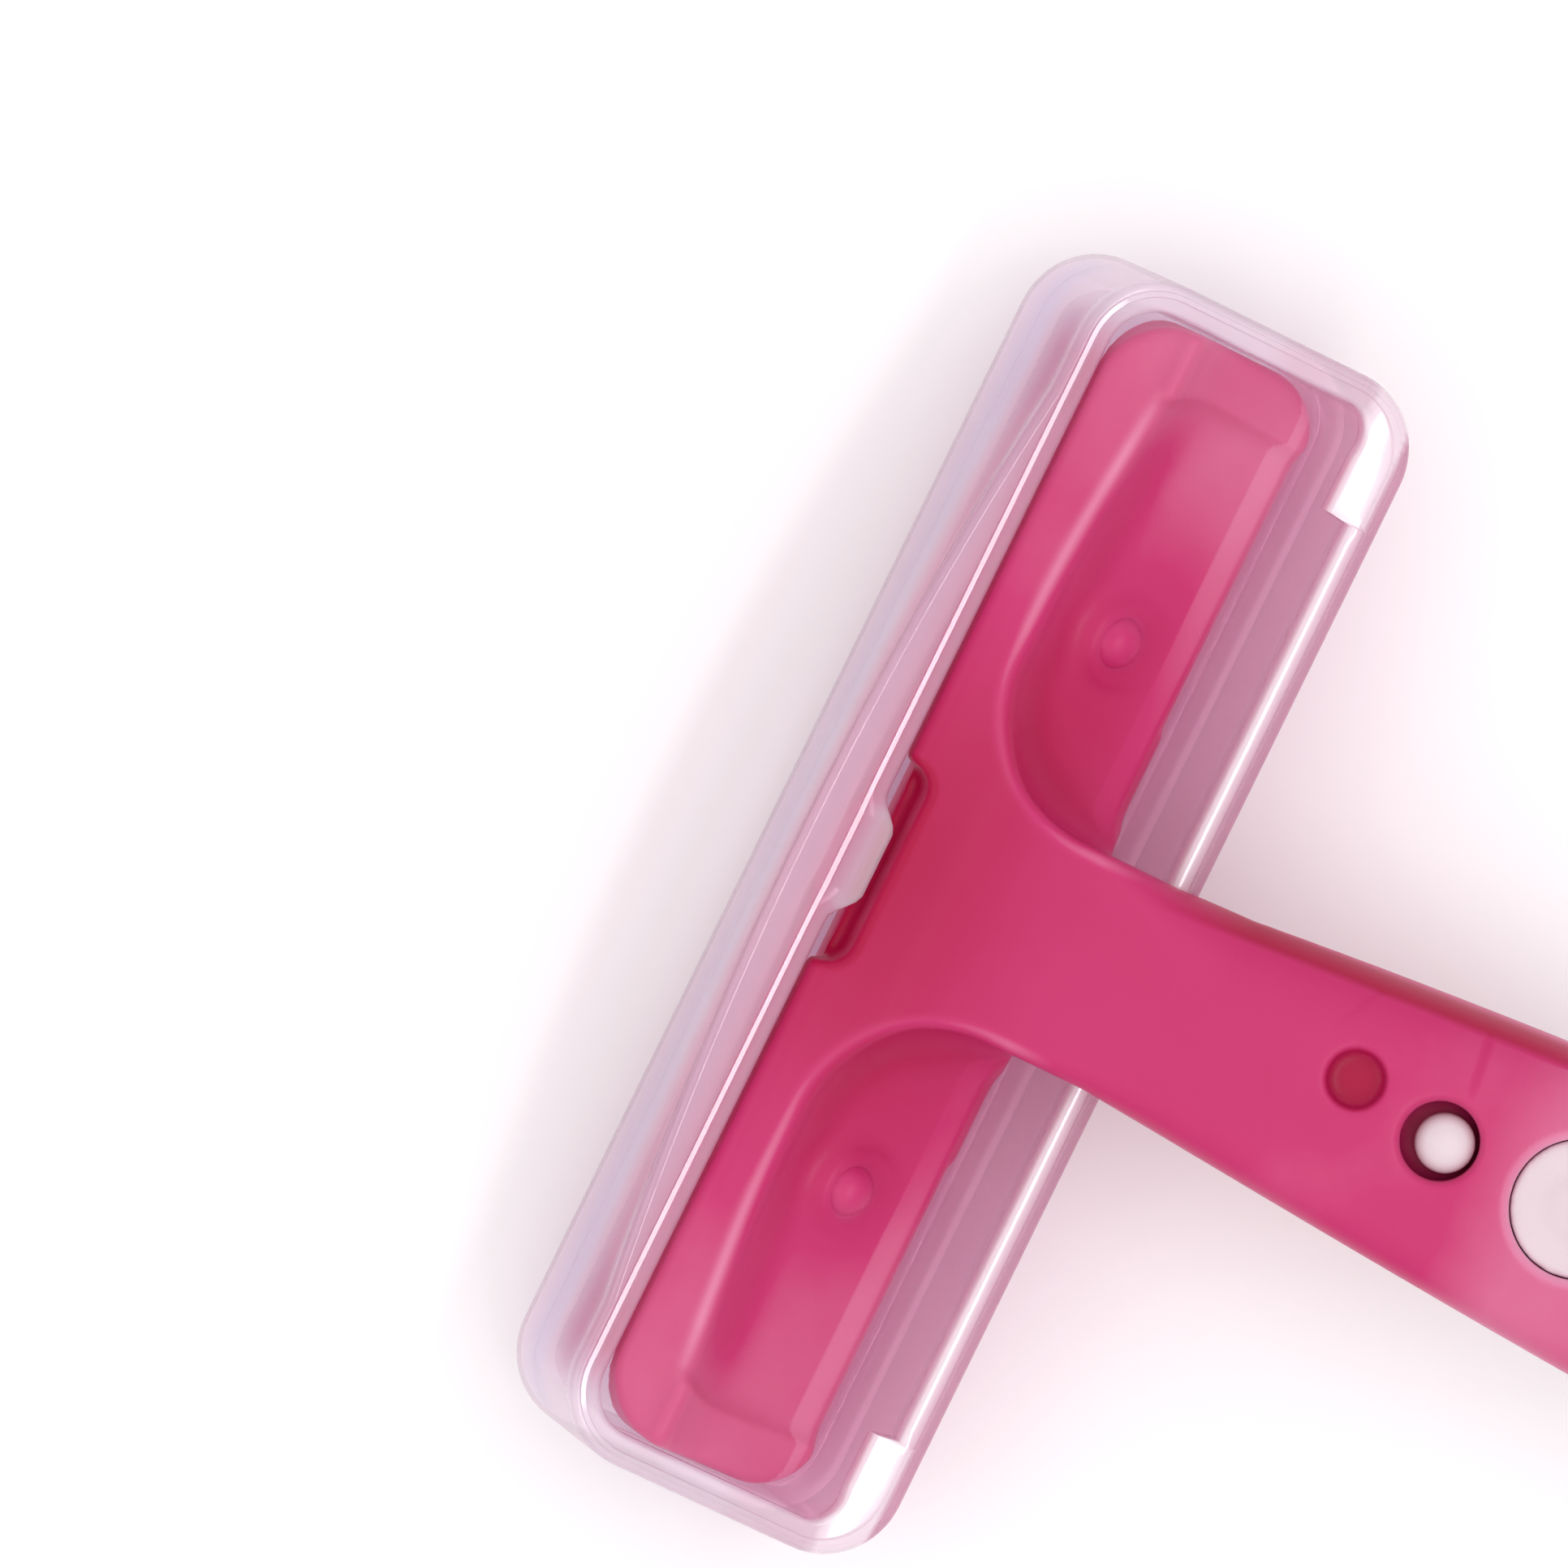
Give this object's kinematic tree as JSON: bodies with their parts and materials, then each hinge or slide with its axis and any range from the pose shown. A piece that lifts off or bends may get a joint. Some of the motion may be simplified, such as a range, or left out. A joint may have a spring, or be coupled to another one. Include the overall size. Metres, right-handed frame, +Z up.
{
  "type": "disposable body razor",
  "caption": "T-shaped one-use body razor with a fixed head, a guarded blade, a soft grip and a clear push-on cap.",
  "frame": {"origin": "middle of the capped razor's box, on the surface it lies on, with the cap down", "axes": "+X along the head and blade, +Y from the end of the handle towards the head, +Z up, out of the handle's back"},
  "size_m": [0.0472, 0.1256, 0.0129],
  "materials": {
    "pink_plastic": "semi-gloss, slightly translucent pink moulding",
    "clamp_plastic": "semi-gloss pink moulding",
    "blade_steel": "ground blade steel with a bright edge",
    "guard_metal": "thin bright white metal",
    "soft_grip": "satin white soft plastic",
    "clear_plastic": "clear moulded plastic, faintly milky"
  },
  "bodies": {
    "razor": {"handle_body": "pink_plastic", "blade_clamp": "clamp_plastic", "blade": "blade_steel", "blade_guard": "guard_metal", "grip_pad": "soft_grip"},
    "cap": {"cap": "clear_plastic"}
  },
  "joints": [
    {"name": "cap_off", "type": "slide", "parent": "cap", "child": "razor", "axis": [0, -0.2924, 0.9563], "range_m": [0, 0.03]}
  ]
}
